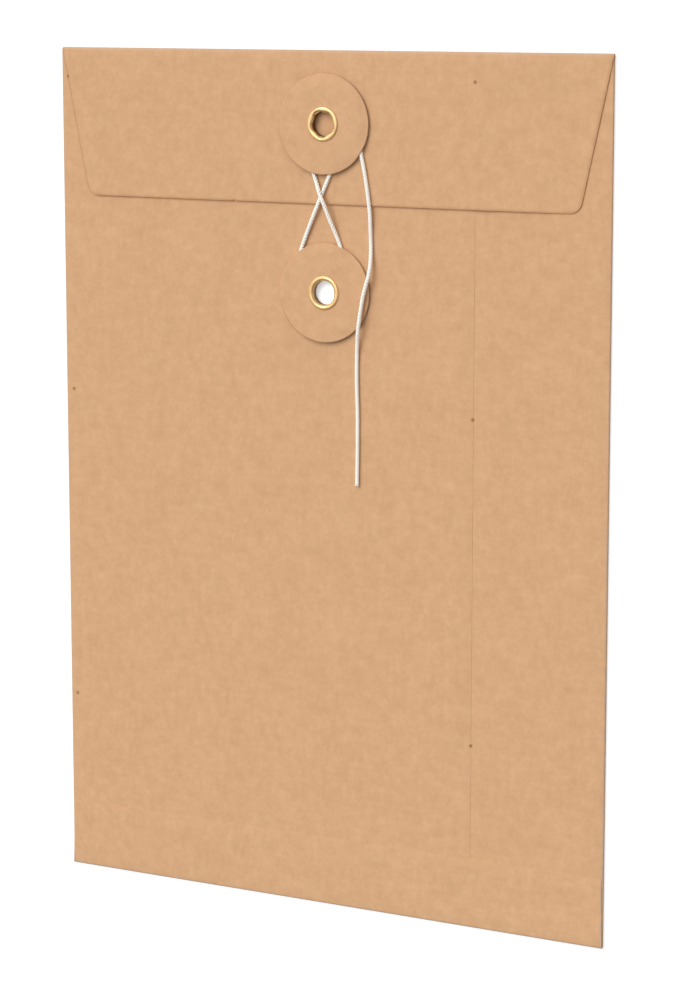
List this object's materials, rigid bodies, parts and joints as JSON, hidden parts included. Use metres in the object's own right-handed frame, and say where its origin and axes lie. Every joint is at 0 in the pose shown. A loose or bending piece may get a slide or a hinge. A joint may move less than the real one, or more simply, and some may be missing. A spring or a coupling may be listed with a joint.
{
  "type": "paper envelope",
  "caption": "Flat kraft paper pocket envelope, its flap held shut by a string wound round riveted card buttons.",
  "frame": {"origin": "middle of the folded outline, on the back face that the envelope lies on", "axes": "+X across the envelope to the right, +Y up it towards the flap's fold, +Z off the table, out of the buttoned face"},
  "size_m": [0.162, 0.229, 0.0037],
  "materials": {
    "kraft_paper": "uncoated brown kraft outside, white inside, matt",
    "kraft_card": "uncoated brown kraft card, matt",
    "brass_eyelet": "bright rolled brass, slightly uneven from hand setting",
    "white_string": "off-white twisted cotton string, matt"
  },
  "bodies": {
    "root": {"envelope_sheet": "kraft_paper", "flap_button_disc": "kraft_card", "pocket_button_disc": "kraft_card", "flap_button_eyelet": "brass_eyelet", "pocket_button_eyelet": "brass_eyelet", "string": "white_string"}
  },
  "joints": []
}
